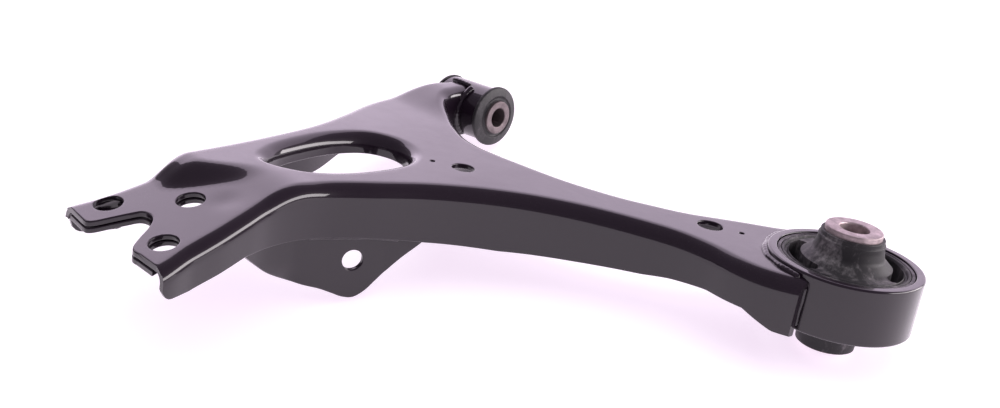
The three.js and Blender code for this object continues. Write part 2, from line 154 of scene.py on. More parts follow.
def shade(mesh, sharpAt):
    mesh.polygons.foreach_set("use_smooth", np.ones(len(mesh.polygons), bool))
    mesh.set_sharp_from_angle(angle=np.radians(sharpAt))
    mesh.update()


def islands(mesh):  # each vertex takes the lowest label along its edges until nothing changes
    edges = np.zeros(len(mesh.edges) * 2, np.int32)
    mesh.edges.foreach_get("vertices", edges)
    a, b = edges.reshape(-1, 2).T
    label = np.arange(len(mesh.vertices))
    while True:
        low = np.minimum(label[a], label[b])
        fresh = label.copy()
        np.minimum.at(fresh, a, low)
        np.minimum.at(fresh, b, low)
        fresh = fresh[fresh]
        if (fresh == label).all():
            return label
        label = fresh


def carve(piece, cutters, sharpAt=40.0):
    # The piece less its cutters; only its largest island is kept.
    for i, cutter in enumerate(cutters):
        step = piece.modifiers.new("carve%d" % i, "BOOLEAN")
        step.operation, step.solver, step.object = "DIFFERENCE", "MANIFOLD", cutter
    bpy.context.view_layer.update()
    done = bpy.data.meshes.new_from_object(piece.evaluated_get(bpy.context.evaluated_depsgraph_get()))
    piece.modifiers.clear()
    piece.data = done
    label = islands(done)
    main = np.bincount(label).argmax()
    work = bmesh.new()
    work.from_mesh(done)
    bmesh.ops.delete(work, geom=[v for v, one in zip(work.verts, label.tolist()) if one != main])
    work.to_mesh(done)
    work.free()
    shade(done, sharpAt)
    for cutter in cutters:
        bpy.data.objects.remove(cutter)
    return piece


def edgeRows(thickness, edge, steps=4):
    # Rows of (inset, depth, stretch) round a flat sheet's cut edge: a quarter round, the wall, and
    # another quarter round.
    q = np.linspace(0, np.pi / 2, steps + 1)
    top = np.column_stack([edge * (1 - np.sin(q)), edge * (1 - np.cos(q)), 0 * q])
    return np.vstack([top, top[::-1] * [1, -1, 0] + [0, thickness, 0]])


def sheetSolid(name, loops, rows, place, step, sharpAt=40.0):
    # A sheet: each loop carries its rows of (inset, depth, stretch), and triangles fill the space
    # between the loops on the first rows (top) and the last rows (underside).
    points, faces, at = [], [], 0
    for loop, profile in zip(loops, rows):
        flat = loop[None] + leftOf(loop)[None] * profile[:, :1, None]
        across = np.repeat(profile[:, None, 1:], len(loop), 1)
        points.append(place(flat.reshape(-1, 2), across[..., 0].ravel(), across[..., 1].ravel()))
        faces.append(gridFaces(len(profile), len(loop), closeCols=True) + at)
        at += flat.shape[0] * flat.shape[1]
    for end in (0, -1):
        rims = [loop + leftOf(loop) * profile[end, 0] for loop, profile in zip(loops, rows)]
        flat, triangles = fillLoops(rims, step)
        depth = np.full(len(flat), rows[0][end, 1])
        points.append(place(flat, depth, np.full(len(flat), rows[0][end, 2])))
        faces.append(triangles + at)
        at += len(flat)
    return makeMesh(name, np.vstack(points), faces, sharpAt)


def roundCorners(corners, radii, steps=5):
    # A closed profile with each corner replaced by a quadratic arc that starts and ends a radius away.
    found = []
    corners = [np.array(c, float) for c in corners]
    for i, (corner, radius) in enumerate(zip(corners, radii)):
        before, after = corners[i - 1] - corner, corners[(i + 1) % len(corners)] - corner
        reach = min(radius, 0.48 * np.linalg.norm(before), 0.48 * np.linalg.norm(after))
        if reach < 1e-3:
            found.append(corner[None])
            continue
        a = corner + before / np.linalg.norm(before) * reach
        b = corner + after / np.linalg.norm(after) * reach
        t = np.linspace(0, 1, steps + 1)[:, None]
        found.append((1 - t) ** 2 * a + 2 * t * (1 - t) * corner + t**2 * b)
    return np.vstack(found)


def moved(points, place):  # points carried into a frame, or left where they are
    return points if place is None else points @ place[:3, :3].T + place[:3, 3]


def turnedPiece(name, profile, sides, place=None, sharpAt=40.0, warp=None):
    # A closed profile of (radius, height) turned about Z: x = r cos a, y = r sin a.
    angle = np.linspace(0, 2 * np.pi, sides, endpoint=False)[:, None]
    r, z = (np.broadcast_arrays(profile[None, :, k], angle)[0] for k in (0, 1))
    if warp:
        r, z = warp(angle, r, z)
    points = np.stack([r * np.cos(angle), r * np.sin(angle), z], -1).reshape(-1, 3)
    return makeMesh(name, moved(points, place), [gridFaces(sides, profile.shape[0], True, True)], sharpAt)


def prism(name, levels, place=None):
    # A cutter: closed plan lines stacked as levels of (line, heights), capped at both ends.
    count = len(levels[0][0])
    points = np.vstack([np.column_stack([line, height + 0 * line[:, 0]]) for line, height in levels])
    caps = [np.arange(count)[None], np.arange(count)[None] + count * (len(levels) - 1)]
    return makeMesh(name, moved(points, place), [gridFaces(len(levels), count, closeCols=True), *caps])


def circle(radius, sides=96, centre=(0, 0)):
    a = np.linspace(0, 2 * np.pi, sides, endpoint=False)
    return np.column_stack([centre[0] + radius * np.cos(a), centre[1] + radius * np.sin(a)])


def boxCutter(low, high):
    line = np.array([[low[0], low[1]], [high[0], low[1]], [high[0], high[1]], [low[0], high[1]]], float)
    return prism("cutBox", [(line, low[2]), (line, high[2])])


def flaredCutter(line, top, thickness, edge, reach=30.0, place=None):
    # A cutter that widens by a quarter round where it meets each face of the sheet, so the cut edge
    # comes out rounded: offset = edge(1 - sin q) at depth edge(1 - cos q).
    outward = -leftOf(line)
    q = np.linspace(0, np.pi / 2, 5)
    flare = list(zip(edge * (1 - np.sin(q)), edge * (1 - np.cos(q))))
    levels = [(line + outward * edge, top(line) + reach)]
    levels += [(line + outward * o, top(line) - d) for o, d in flare]
    levels += [(line + outward * o, top(line) - thickness + d) for o, d in flare[::-1]]
    levels.append((line + outward * edge, top(line) - thickness - reach))
    return prism("cutFlared", levels, place)


# the arm's pressing

arm = {  # holes: x, y, radius; dimple: x, y, width, depth; gaps: low and high corner of a cut
    "sheet": 3.0, "bend": 8.0, "deck": 12.5,
    "edge": 0.7, "collarDepth": 12.0, "forkSlope": 0.25, "forkDrop": 13.0, "step": 2.6,
    "neckTop": 18.5, "neckFoot": (25.0, 70.0), "neckRise": (240.5, 287.5),
    "forkFlat": 273.0, "farRamp": (247.0, 273.0), "nearRamp": (206.0, 242.0), "rampTurn": (207.5, 237.5),
    "clearance": 0.3,
    "smallHole": (183.0, 111.0, 6.4), "drainHole": (67.5, 31.5, 7.0),
    "pinHoles": ((197.4, 121.5, 1.5), (52.6, 22.4, 1.5)),
    "dimple": (199.6, 254.7, 5.5, 0.7), "bodyFrom": (112, 152),
    "frontGap": ((260.5, -61, -60), (340.5, -1, 60)), "rearGap": ((-66, -60, -60), (-6, 60, 60)),
}
legEdge = np.array([
    [-10, -18.5], [2, -17.5], [18, -10.5], [42, -10.5], [65, -13.3], [79, -15.8], [112, -19],
    [142, -21], [164, -20], [240, -17.5], [286, -13.5],
])
bodyEdge = np.array([
    [110, -20.5], [150, -19.5], [177, -17.5], [222, -16.5], [255, -17.5], [274, -22],
    [293, -25.8], [305, -26], [307, -25.5], [308.8, -24.2], [310.2, -22], [311, -18],
])
outlinePoints = [
    [-20, 33], [-14, 10], [4, -6], [26, -27], [44, -23],
    [57, -9], [68, 2], [79, 14], [91, 26.5], [105, 36.5], [119, 45.5], [135, 53], [153, 59.5],
    [185, 66.5], [208, 70.5], [224, 68.5], [242, 60.5], [262, 49.5], [277, 41], [284.5, 34],
    [288, 24], [289.5, 11], [288.5, -10], [284, -30], [286, -48],
    [300, -57], [314, -48], [316, -30], [311, -10], [310.5, 14], [311.5, 32], [310.5, 48], [306.5, 66],
    [298.5, 92], [285, 121], [273, 151], [264.5, 184], [258, 217], [253.5, 248], [250.5, 274],
    [251, 296], [254, 316], [250, 332],
    [210, 340], [168, 332], [162.5, 312], [168.5, 290], [172.5, 272], [177.5, 254], [182, 238],
    [183.5, 222], [182, 203], [173, 176], [163, 150], [150, 127], [133.5, 106], [115, 89.5],
    [101, 80], [86, 71.5], [66, 62.5],
    [47, 59.5], [28, 60], [14, 58], [2, 53], [-8, 46],
]
openingPoints = [
    [228, 211], [212, 203], [203, 188], [199.5, 162], [203, 138], [214, 124.5],
    [231, 121], [244.5, 129], [249.5, 149], [246, 177], [238.5, 199],
]
notchPoints = [
    [184.5, 311.5], [189.5, 311.6], [193.2, 309.4], [198, 303.5], [203.5, 295.5], [208.5, 290.6],
    [214, 288.8], [219, 290.3], [221.8, 296.5], [224, 303], [227.2, 312], [229.5, 314.2], [233, 314.5],
]
beyondFork = [[262, 312], [270, 360], [140, 360], [140, 311]]  # closes the notch's cut past the prongs
studHoles = [(213.0, 267.0), (185.5, 298.0), (238.5, 298.0)]
studRadius = 7.3
forkTilt = np.arctan(arm["forkSlope"])


def forkHeight(y):
    return arm["deck"] - arm["forkDrop"] - arm["forkSlope"] * (y - arm["forkFlat"])


def topHeight(x, y):
    # Deck height, eased down to the sloping fork by a steep ramp on the far side and a long fold on
    # the near side, plus the rise of the neck to the tube, less one shallow round dimple (a bell
    # curve of the distance from its centre).
    far = smoothStep(*arm["rampTurn"], x)
    start, stop = (mix(n, f, far) for n, f in zip(arm["nearRamp"], arm["farRamp"]))
    deck = mix(arm["deck"], forkHeight(y), smoothStep(start, stop, y))
    neck = (1 - smoothStep(*arm["neckFoot"], y)) * smoothStep(*arm["neckRise"], x)
    dx, dy, width, deep = arm["dimple"]
    bell = deep * np.exp(-((x - dx) ** 2 + (y - dy) ** 2) / (2 * width**2))
    return deck + (arm["neckTop"] - arm["deck"]) * neck - bell


def lowerEdge(x, y):
    along = np.interp(x, legEdge[:, 0], legEdge[:, 1])
    return mix(along, np.interp(y, bodyEdge[:, 0], bodyEdge[:, 1]), smoothStep(*arm["bodyFrom"], y))


def pressed(flat, depth, stretch):
    # Height = top face less the depth, and the flange below the bend stretched to the trim line.
    x, y = flat[:, 0], flat[:, 1]
    top = topHeight(x, y)
    return np.column_stack([x, y, top - depth - stretch * (top - arm["bend"] - lowerEdge(x, y))])


def bendRows(wall, deep, stretched):
    # Rows of (inset, depth, stretch): the outer bend, the flange, its rounded trim edge, and back up
    # the inside: quarter circles of the bend radius outside and of the bend radius less the wall inside.
    bend, sheet, edge = arm["bend"], arm["sheet"], arm["edge"]
    a = np.linspace(0, np.pi / 2, 11)[:, None]
    outer = np.hstack([bend - bend * np.sin(a), bend - bend * np.cos(a), 0 * a])
    inner = np.hstack([bend - (bend - sheet) * np.sin(a), bend - (bend - sheet) * np.cos(a), 0 * a])[::-1]
    k = np.linspace(0, 1, wall + 1)[1:, None]
    lowest = deep - edge
    side = np.hstack([0 * k, mix(bend, lowest, k), k * stretched])
    back = np.hstack([0 * k + sheet, mix(bend, lowest, k), k * stretched])[::-1]
    q = np.linspace(0, np.pi / 2, 5)[1:, None]
    lipOut = np.hstack([edge * (1 - np.cos(q)), lowest + edge * np.sin(q), 0 * q + stretched])
    lipIn = np.hstack([sheet - edge * (1 - np.cos(q)), lowest + edge * np.sin(q), 0 * q + stretched])[::-1]
    return np.vstack([outer, side, lipOut, lipIn, back, inner])


def forkPlane(x, y):  # stands local Z along the fork's normal at a place on its top face
    c, s = np.cos(-forkTilt), np.sin(-forkTilt)
    place = np.eye(4)
    place[:3, :3] = [[1, 0, 0], [0, c, -s], [0, s, c]]
    place[:3, 3] = (x, y, forkHeight(y))
    return place


def forkCutters(start, thickness, edge):
    notch = smoothLine(notchPoints, 90)
    line = np.vstack([notch, beyondFork])[::-1]
    line = line[::-1] if signedArea(line) < 0 else line
    cutters = [flaredCutter(line, lambda p: forkHeight(p[:, 1]) - start, thickness, edge, 60)]
    scale = np.cos(forkTilt)
    level = lambda p: 0 * p[:, 0] - start * scale
    for x, y in studHoles:
        hole = circle(studRadius)
        cutters.append(flaredCutter(hole, level, thickness * scale, edge, place=forkPlane(x, y)))
    return cutters


def signedArea(line):
    x, y = line.T
    return 0.5 * (x * np.roll(y, -1) - y * np.roll(x, -1)).sum()


frontBush = {
    "centre": (295.5, 1.5, 2.0), "yaw": 4.5, "pitch": 3.5, "tubeRadius": 17.5, "tubeWall": 2.8,
    "tubeLength": 37.5, "shellWall": 1.5, "sleeveRadius": 10.9, "boreRadius": 6.2,
    "sleeveLength": 49.0, "flangeRadius": 19.5, "farFlangeRadius": 18.2, "flange": 4.4,
    "clearance": 0.3, "bondFrom": 0.5, "bondTo": 12.4,
}


def bushFrame(values):  # local Z points from the front bush towards the rear bush
    yaw, lean = np.radians(values["yaw"]), np.radians(values["pitch"] - 90)
    turn = np.array([[np.cos(yaw), -np.sin(yaw), 0], [np.sin(yaw), np.cos(yaw), 0], [0, 0, 1]])
    tip = np.array([[np.cos(lean), 0, np.sin(lean)], [0, 1, 0], [-np.sin(lean), 0, np.cos(lean)]])
    place = np.eye(4)
    place[:3, :3], place[:3, 3] = turn @ tip, values["centre"]
    return place


frontPlace = bushFrame(frontBush)
ringRadius = 42.0


def makeArmShell():
    outline = smoothLine(outlinePoints, 760, True)
    opening = smoothLine(openingPoints, 220, True)[::-1]
    rows = [bendRows(8, arm["bend"], 1.0), bendRows(2, arm["collarDepth"], 0.0)]
    shell = sheetSolid("armShell", [outline, opening], rows, pressed, arm["step"])
    deckTop = lambda p: topHeight(p[:, 0], p[:, 1])
    sheet, edge, clear = arm["sheet"], arm["edge"], arm["clearance"]
    cutters = [
        prism("cutRing", [(circle(ringRadius + clear, 360), z) for z in (-60, 60)]),
        prism("cutTube", [(circle(frontBush["tubeRadius"] + clear, 240), z) for z in (-35, 35)], frontPlace),
        boxCutter(*arm["frontGap"]),
        boxCutter(*arm["rearGap"]),
    ]
    for x, y, radius in (arm["smallHole"], arm["drainHole"], *arm["pinHoles"]):
        line = circle(radius, 72, (x, y))
        cutters.append(flaredCutter(line, deckTop, sheet, min(edge, radius / 3)))
    return carve(shell, cutters + forkCutters(0, sheet, edge))


backing = {
    "sheet": 3.0, "under": 3.6, "edge": 0.7,
    "outline": [
        [190.5, 238], [198, 228], [215, 225.5], [234, 228], [243.5, 236], [244, 250], [241.5, 274],
        [242, 294], [246.5, 330], [172, 330], [171.5, 312], [177.5, 292], [182, 272], [187, 254],
    ],
}


def makeBacking():
    outline = smoothLine(backing["outline"], 320, True)
    rows = [edgeRows(backing["sheet"], backing["edge"])]
    place = lambda p, depth, stretch: pressed(p, depth + backing["under"], 0 * stretch)
    plate = sheetSolid("forkBackingPlate", [outline], rows, place, arm["step"])
    return carve(plate, forkCutters(backing["under"], backing["sheet"], backing["edge"]))


bracket = {
    "sheet": 3.2, "edge": 0.8, "top": -4.0, "holeRadius": 5.6, "holeAt": (184.0, -31.4),
    "line": [
        [156.5, 130], [167, 150], [173.5, 164], [174.5, 166], [188.3, 213.5], [189, 217],
        [189, 236], [184.5, 253],
    ],
    "lower": [
        [253, -16], [250, -21], [240, -29.5], [231, -36], [214.5, -43.7], [200.6, -47.6],
        [193.5, -50.4], [187, -53], [181, -53.5], [175, -50], [170, -44.5], [164, -37.7],
        [157, -30], [150, -22.4], [143, -14],
    ],
    "curl": 2.6, "curlBelow": -30, "curlDepth": 12, "curlFrom": (200, 222),
    "wing": 1.6, "wingAlong": (172, 150), "wingDown": (-20, -36),
}


def makeBracket():
    # The plan line is swept down from its top; across = (y, z), and the face stands on the plan line.
    line = smoothLine(bracket["line"], 200)
    along = np.gradient(line, axis=0)
    along /= np.linalg.norm(along, axis=1, keepdims=True)
    away = np.column_stack([along[:, 1], -along[:, 0]])  # towards the inside of the arm
    lower = smoothLine(bracket["lower"], 130)
    top = np.column_stack([np.linspace(lower[-1, 0], lower[0, 0], 70), np.full(70, bracket["top"])])
    quarters = (0.25, 0.5, 0.75)
    rise = [[lower[-1, 0], mix(lower[-1, 1], bracket["top"], t)] for t in quarters]
    fall = [[lower[0, 0], mix(bracket["top"], lower[0, 1], t)] for t in quarters]
    loop = np.vstack([lower, rise, top, fall])
    loop = loop if signedArea(loop) > 0 else loop[::-1]
    hole = circle(bracket["holeRadius"], 80, bracket["holeAt"])[::-1]

    def place(p, depth, stretch):
        y, z = p[:, 0], p[:, 1]
        x = np.interp(y, line[:, 1], line[:, 0])
        nx, ny = np.interp(y, line[:, 1], away[:, 0]), np.interp(y, line[:, 1], away[:, 1])
        below = np.clip(bracket["curlBelow"] - z, 0, None) * smoothStep(*bracket["curlFrom"], y)
        curl = bracket["curl"] * (below / bracket["curlDepth"]) ** 2
        wing = bracket["wing"] * smoothStep(*bracket["wingAlong"], y) * smoothStep(*bracket["wingDown"], z)
        inward = depth + curl + wing
        return np.column_stack([x + nx * inward, y + ny * inward, z])

    rows = [edgeRows(bracket["sheet"], bracket["edge"])] * 2
    return sheetSolid("linkBracket", [loop, hole], rows, place, 2.2)


weldNut = {  # mouth: the plain part at each end of the thread
    "radius": 8.6, "flats": 7.6, "height": 4.5, "thread": 5.1, "pitch": 1.5, "threadDeep": 0.55,
    "clearance": 0.3, "stand": 0.1, "mouth": 0.8,
}


def makeWeldNut():
    # Radius = the lesser of the round and the hexagon, flats / cos(angle from the flat's middle);
    # the bore's radius swings by a triangle wave of height less turn, which is the thread.
    depth = backing["under"] + backing["sheet"] + weldNut["clearance"]
    start = depth * np.cos(forkTilt) + weldNut["stand"]
    h, thread, radius, mouth = (weldNut[key] for key in ("height", "thread", "radius", "mouth"))
    corners = [(thread + mouth, 0), (radius, 0), (radius, -h), (thread + mouth, -h)]
    outside = roundCorners(corners, [0.2, 0.9, 1.2, 0.3])
    bore = np.column_stack([np.full(37, thread), np.linspace(-h + mouth, -mouth, 37)])
    profile = np.vstack([outside, bore])

    def warp(angle, r, z):
        flat = weldNut["flats"] / np.cos((angle % (np.pi / 3)) - np.pi / 6)
        hexed = np.where(r > thread + 1, np.minimum(r, flat - (radius - r) * 0.5), r)
        wave = np.abs(((z / weldNut["pitch"] - angle / (2 * np.pi)) % 1) - 0.5) * 2
        inBore = (r < thread + 0.1) & (z < -0.7) & (z > -h + 0.7)
        return np.where(inBore, hexed - weldNut["threadDeep"] * wave, hexed), z

    place = forkPlane(*studHoles[2])
    place[:3, 3] -= place[:3, 2] * start
    return turnedPiece("ballJointWeldNut", profile, 144, place, 30, warp)


# the rear bush

rearBush = {
    "ringWall": 5.0, "ringHeight": 31.5, "shellWall": 2.0, "shellHeight": 30.0, "clearance": 0.3,
    "sleeveRadius": 15.4, "boreRadius": 8.0, "sleeveLength": 67.0, "voidBearing": 225.0,
    "voidHalfAngle": 40.0, "voidMiddle": 27.05, "voidOut": 3.6, "voidIn": 2.6, "coat": 0.5,
    "bondFrom": 1.0, "bondTo": 31.0,
}


def pipeProfile(outer, inner, length, edge, boreEdge=None):
    half, inEdge = length / 2, edge if boreEdge is None else boreEdge
    corners = [(inner, -half), (outer, -half), (outer, half), (inner, half)]
    return roundCorners(corners, [inEdge, edge, edge, inEdge])


def makeRearRubber():
    inner = rearBush["sleeveRadius"] + 0.02
    outer = ringRadius - rearBush["ringWall"] - 2 * rearBush["clearance"] - rearBush["shellWall"]
    lip, collar = rearBush["shellHeight"] / 2 - 3, rearBush["sleeveLength"] / 2 - 4.5
    low = -rearBush["sleeveLength"] / 2 + 0.6
    corners = [
        (inner, low), (inner + rearBush["coat"], low), (inner + 0.9, -collar + 1),
        (inner + 1.8, -collar + 8), (inner + 3, -collar + 12), (inner + 10, -collar + 19),
        (outer - 4, -lip), (outer, -lip - 0.6), (outer, lip + 2.9), (outer - 1.4, lip + 2.9),
        (outer - 2.1, lip + 1.0), (outer - 3.1, lip + 1.0), (outer - 3.8, lip + 2.7),
        (outer - 5.6, lip + 2.4), (inner + 9.4, lip + 2.9), (inner + 5.8, lip + 6.2),
        (inner + 3.6, collar - 9), (inner + 2.5, collar - 4), (inner + 2.5, collar - 1.2),
        (inner + 1.7, collar - 0.8), (inner + 1.7, collar + 1.5), (inner, collar + 1.5),
    ]
    rounds = [
        0.2, 0.4, 3, 4, 4, 5, 1, 0.4, 0.5, 0.6, 0.5, 0.5, 0.8, 0.9, 4, 4, 4, 0.9, 0.5, 0.3, 0.6, 0.2,
    ]
    profile = roundCorners(corners, rounds, 6)
    rubber = turnedPiece("rearBushRubber", profile, 192, sharpAt=50)
    a = np.radians(np.linspace(-rearBush["voidHalfAngle"], rearBush["voidHalfAngle"], 40))
    out, mid, into = rearBush["voidOut"], rearBush["voidMiddle"], rearBush["voidIn"]
    arc = lambda radius, angles: np.column_stack([radius * np.cos(angles), radius * np.sin(angles)])
    cap = np.radians(np.linspace(80, -80, 12))
    centre, half = mid + (out - into) / 2, (out + into) / 2
    end = lambda angle, side: arc(centre, np.array([angle])) + half * np.column_stack([
        np.sin(cap) * np.cos(angle) - side * np.cos(cap) * np.sin(angle) * 0.8,
        np.sin(cap) * np.sin(angle) + side * np.cos(cap) * np.cos(angle) * 0.8])
    kidney = np.vstack([arc(mid + out, a), end(a[-1], 1), arc(mid - into, a[::-1]), end(a[0], -1)[::-1]])
    cutters = []
    for turn in (rearBush["voidBearing"], rearBush["voidBearing"] + 180):
        c, s = np.cos(np.radians(turn)), np.sin(np.radians(turn))
        line = kidney @ np.array([[c, s], [-s, c]])
        cutters.append(prism("cutVoid", [(line, -60), (line, 60)]))
    return carve(rubber, cutters, 45)


def makeRearBush():
    wall, clear = rearBush["ringWall"], rearBush["clearance"]
    shellOut = ringRadius - wall - clear
    shellIn, height = shellOut - rearBush["shellWall"], rearBush["shellHeight"]
    out, bore, length = (rearBush[key] for key in ("sleeveRadius", "boreRadius", "sleeveLength"))
    ringProfile = pipeProfile(ringRadius, ringRadius - wall, rearBush["ringHeight"], 1.4, 0.7)
    ring = turnedPiece("rearBushRing", ringProfile, 288)
    shell = turnedPiece("rearBushOuterSleeve", pipeProfile(shellOut, shellIn, height, 0.6), 240)
    sleeve = turnedPiece("rearBushInnerSleeve", pipeProfile(out, bore, length, 0.9, 1.1), 160)
    return ring, shell, makeRearRubber(), sleeve


# the front bush


def makeFrontBush():
    v = frontBush
    shellOut = v["tubeRadius"] - v["tubeWall"] - v["clearance"]
    rubberOut = shellOut - v["shellWall"] - v["clearance"]
    inner, end = v["sleeveRadius"] + 0.02, v["tubeLength"] / 2 + v["clearance"]
    lip = end + v["flange"]
    tubeProfile = pipeProfile(v["tubeRadius"], v["tubeRadius"] - v["tubeWall"], v["tubeLength"], 0.9, 0.5)
    tube = turnedPiece("frontBushTube", tubeProfile, 200, frontPlace)
    shellProfile = pipeProfile(shellOut, shellOut - v["shellWall"], v["tubeLength"], 0.5)
    shell = turnedPiece("frontBushOuterSleeve", shellProfile, 160, frontPlace)
    corners = [
        (inner, -lip), (v["farFlangeRadius"] - 4, -lip), (v["farFlangeRadius"], -end - 1.5),
        (v["farFlangeRadius"], -end), (rubberOut, -end), (rubberOut, end), (v["flangeRadius"], end),
        (v["flangeRadius"], end + 2.2), (inner + 3.0, lip - 0.6), (inner + 2.2, lip - 1.6),
        (inner + 1.0, lip - 1.7), (inner, lip - 0.8),
    ]
    profile = roundCorners(corners, [0.2, 1.6, 1, 0.4, 0.2, 0.2, 0.5, 0.9, 0.8, 0.5, 0.4, 0.1])
    rubber = turnedPiece("frontBushRubber", profile, 200, frontPlace)
    sleeveProfile = pipeProfile(v["sleeveRadius"], v["boreRadius"], v["sleeveLength"], 0.8, 0.9)
    sleeve = turnedPiece("frontBushInnerSleeve", sleeveProfile, 128, frontPlace)
    return tube, shell, rubber, sleeve


# weld beads

weld = {
    "radius": 1.8, "spacing": 0.35, "pitch": 3.1, "ripple": 0.045, "lag": 0.9, "wander": 0.6,
    "swell": 0.13, "sides": 28, "stand": 0.9, "tubeStand": 0.6, "bracketHeight": -14.5,
}


def makeBead(name, points, radius, seed):
    # A tube along a smooth path. Its radius is multiplied by 1 + ripple * scallop, where the scallops
    # are overlapping arcs that trail at the sides, and its path wanders by slow sine waves.
    length = np.linalg.norm(np.diff(np.array(points), axis=0), axis=1).sum()
    count = max(24, int(length / weld["spacing"]))
    path = smoothLine(points, count)
    run = np.linspace(0, length, count)
    along = np.gradient(path, axis=0)
    along /= np.linalg.norm(along, axis=1, keepdims=True)
    helper = np.where(np.abs(along[:, 2:3]) > 0.9, [[1.0, 0, 0]], [[0, 0, 1.0]])
    side = np.cross(along, helper)
    side /= np.linalg.norm(side, axis=1, keepdims=True)
    up = np.cross(side, along)
    sway = weld["wander"] * (np.sin(run / 5.3 + seed) + 0.6 * np.sin(run / 2.1 + 2 * seed)) * 0.5
    path = path + side * sway[:, None]
    a = np.linspace(0, 2 * np.pi, weld["sides"], endpoint=False)[None]
    trail = weld["lag"] * np.cos(a)
    phase = (run[:, None] + trail + 0.25 * np.sin(run[:, None] / 1.7 + seed)) / weld["pitch"]
    scallop = 1 - np.abs((phase % 1) * 2 - 1) ** 1.8
    closing = np.sqrt(np.clip(1 - (1 - np.minimum(run, length - run) / radius).clip(0, 1) ** 2, 0.0004, 1))
    swell = 1 + weld["swell"] * np.sin(run / 4.6 + 3 * seed)
    r = radius * (closing * swell)[:, None] * (1 + weld["ripple"] * (scallop - 0.5))
    outward = np.cos(a)[..., None] * up[:, None] + np.sin(a)[..., None] * side[:, None]
    points = path[:, None] + r[..., None] * outward
    faces = gridFaces(count, weld["sides"], closeCols=True)
    caps = [np.arange(weld["sides"])[None], np.arange(weld["sides"])[None] + weld["sides"] * (count - 1)]
    return makeMesh(name, points.reshape(-1, 3), [faces, *caps], 60)


def arcPath(radius, start, stop, height, count=9):
    a = np.radians(np.linspace(start, stop, count))
    return np.column_stack([radius * np.cos(a), radius * np.sin(a), np.full(count, height)])


def tubeSidePath(x, high, low, count=7):
    z = np.linspace(high, low, count)
    radius, centre = frontBush["tubeRadius"] + weld["tubeStand"], frontBush["centre"]
    across = np.sqrt(np.clip(radius**2 - (z - centre[2]) ** 2, 0, None))
    return np.column_stack([np.full(count, x), centre[1] + across, z])


def makeWelds():  # node: name, path, radius, seed of its waves
    edge, beside = ringRadius + weld["stand"], arm["deck"] - 0.1
    top, low = arm["neckTop"] + 0.2, weld["bracketHeight"]
    under = lambda x, y: (x, y, float(topHeight(x, y)) - backing["under"] - backing["sheet"])
    seam = lambda x, y: (x - 0.6, y, float(lowerEdge(x, y)) + 0.1)

    def upright(bearing, heights):
        a = np.radians(bearing)
        return [(edge * np.cos(a), edge * np.sin(a), z) for z in heights]

    beads = {
        "weld_ring_top": ("weldRingTop", arcPath(edge, 0, 92, beside), weld["radius"], 0.4),
        "weld_ring_inboard": ("weldRingInboard", upright(-38, (9, 0, -9)), weld["radius"], 1.3),
        "weld_ring_outboard": ("weldRingOutboard", upright(97, (9, -2, -13)), 1.3, 2.1),
        "weld_tube_rear_side": ("weldTubeRearSide", tubeSidePath(289.6, top, -11), 2.3, 0.8),
        "weld_tube_front_side": ("weldTubeFrontSide", tubeSidePath(310.2, top - 5, -11), 2.0, 3.0),
        "weld_tube_top": (
            "weldTubeTop", [(292, 8.6, top + 0.3), (301, 8.8, top + 0.2), (309, 8.6, top - 0.2)], 1.7, 1.9),
        "weld_bracket_outer": (
            "weldBracketOuter",
            [seam(172, 161), seam(177.5, 178), seam(182.5, 195), seam(187.5, 212)], 1.7, 2.6),
        "weld_bracket_inner": (
            "weldBracketInner", [(182.8, 171, low), (187.8, 188, low), (192.8, 206, low)], 2.1, 0.2),
        "weld_backing_near": (
            "weldBackingNear", [under(180, 262), under(177, 280), under(174.5, 298)], 2.1, 1.1),
        "weld_backing_far": (
            "weldBackingFar", [under(246, 256), under(245.5, 268), under(245.8, 281)], 2.1, 2.9),
    }
    return {node: makeBead(*bead) for node, bead in beads.items()}


# finishes: shader groups are built once, with named sockets, and placed in each material


def nodeGroup(name, inputs, outputs):
    group = bpy.data.node_groups.new(name, "ShaderNodeTree")
    for label, kind, value in inputs:
        socket = group.interface.new_socket(label, in_out="INPUT", socket_type=kind)
        if value is not None:
            socket.default_value = value
    for label, kind in outputs:
        group.interface.new_socket(label, in_out="OUTPUT", socket_type=kind)
    return group, group.nodes.new("NodeGroupInput"), group.nodes.new("NodeGroupOutput")


def put(tree, kind, links=(), **values):  # a node with its values set and its inputs linked
    node = tree.nodes.new(kind)
    for key, value in values.items():
        if key.startswith("in_"):
            label = key[3:]
            node.inputs[int(label) if label.isdigit() else label.replace("_", " ")].default_value = value
        else:
            setattr(node, key, value)
    for label, source in links:
        tree.links.new(source, node.inputs[label])
    return node


def noise(tree, vector, scale, detail=3.0, rough=0.5):
    node = put(tree, "ShaderNodeTexNoise", [("Vector", vector)], in_Detail=detail, in_Roughness=rough)
    if hasattr(scale, "is_linked"):
        tree.links.new(scale, node.inputs["Scale"])
    else:
        node.inputs["Scale"].default_value = scale
    return node.outputs["Fac"]


def ramp(tree, source, low, high, fromLow=0.0, fromHigh=1.0):
    node = put(tree, "ShaderNodeMapRange", [("Value", source)])
    for label, value in (("From Min", fromLow), ("From Max", fromHigh), ("To Min", low), ("To Max", high)):
        node.inputs[label].default_value = value
    return node.outputs["Result"]


def maths(tree, kind, a, b):
    node = put(tree, "ShaderNodeMath", operation=kind)
    for i, value in enumerate((a, b)):
        if isinstance(value, (int, float)):
            node.inputs[i].default_value = value
        else:
            tree.links.new(value, node.inputs[i])
    return node.outputs[0]


def blendColors(tree, factor, a, b):
    node = put(tree, "ShaderNodeMix", data_type="RGBA")
    for i, value in ((0, factor), (6, a), (7, b)):
        if isinstance(value, (tuple, list, float, int)):
            node.inputs[i].default_value = value
        else:
            tree.links.new(value, node.inputs[i])
    return node.outputs[2]


def bump(tree, height, distance):
    node = put(tree, "ShaderNodeBump", [("Height", height)], in_Distance=distance, in_Strength=1.0)
    return node.outputs["Normal"]


